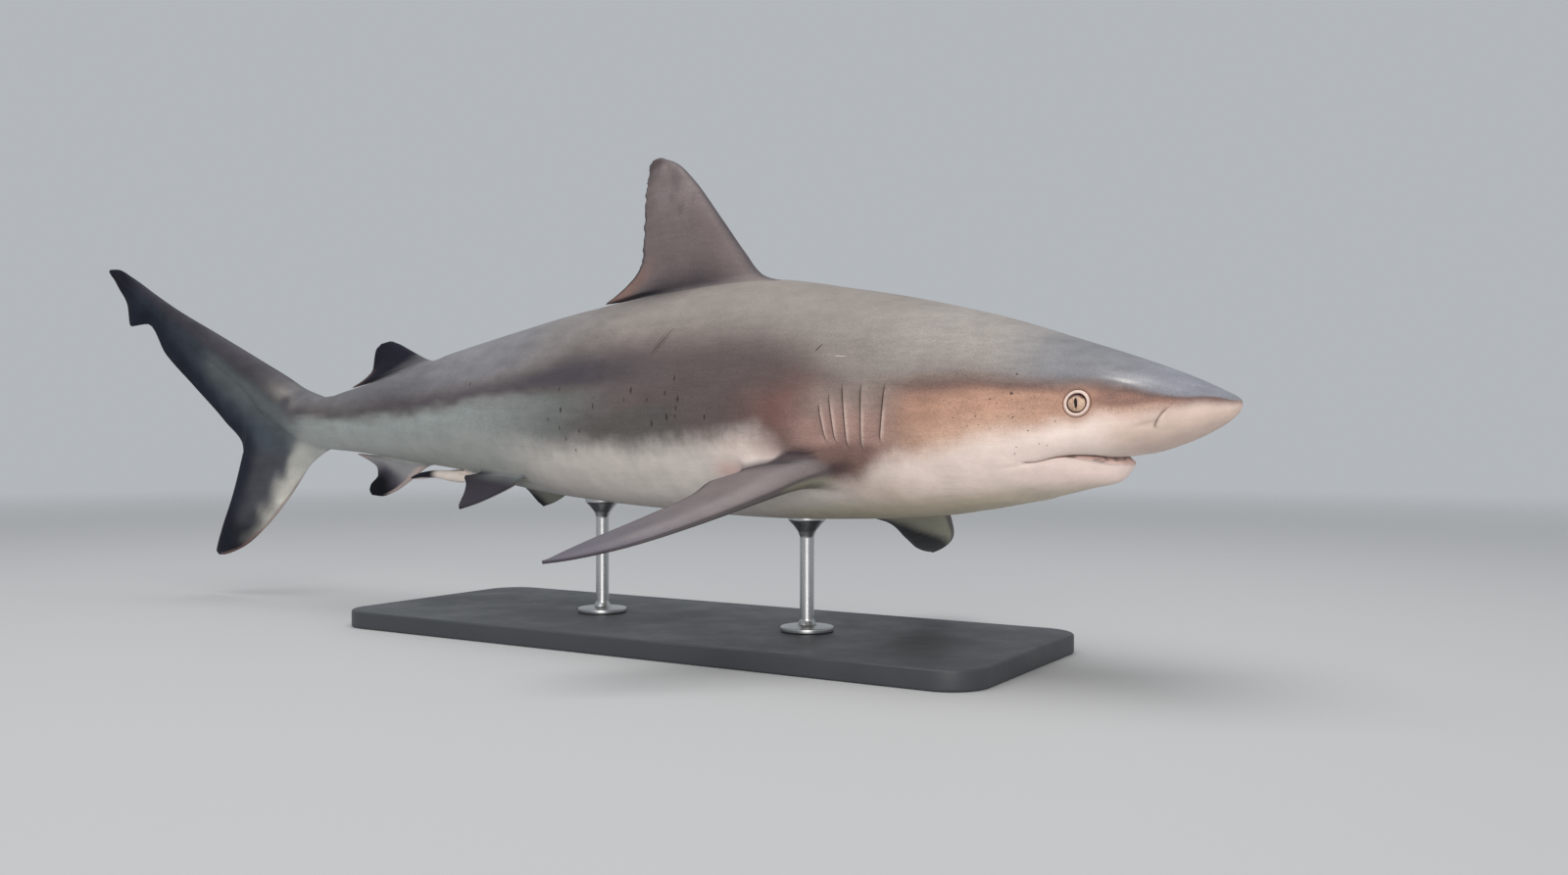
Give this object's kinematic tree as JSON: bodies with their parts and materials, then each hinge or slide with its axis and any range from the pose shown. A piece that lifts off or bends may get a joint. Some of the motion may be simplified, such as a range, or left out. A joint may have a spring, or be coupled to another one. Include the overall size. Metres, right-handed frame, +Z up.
{
  "type": "reef shark",
  "caption": "Life-size still model of a Caribbean reef shark swimming with its body in a gentle arc, on a flat base with rods under the belly.",
  "frame": {"origin": "on the underside of the stand's base, plumb below the middle of the shark's length", "axes": "+X is the shark's heading at mid-body, +Y its left, +Z up"},
  "size_m": [1.9889, 0.7204, 0.6518],
  "materials": {
    "skin": "satin painted hide, bronze-grey above and cream below, dusky fin tips",
    "eye": "polished, pale iris with a narrow upright pupil",
    "stand_paint": "satin black powder coat",
    "stand_steel": "brushed"
  },
  "bodies": {
    "root": {"head": "skin", "lower_jaw": "skin", "gill_region": "skin", "trunk": "skin", "tail_stalk": "skin", "tail_fin_upper_lobe": "skin", "tail_fin_lower_lobe": "skin", "first_dorsal_fin": "skin", "second_dorsal_fin": "skin", "anal_fin": "skin", "pectoral_fin_left": "skin", "pectoral_fin_right": "skin", "pelvic_fin_left": "skin", "pelvic_fin_right": "skin", "clasper_left": "skin", "clasper_right": "skin", "eye_left": "eye", "eye_right": "eye", "stand_base": "stand_paint", "stand_rod_front": "stand_steel", "stand_rod_rear": "stand_steel"}
  },
  "joints": []
}
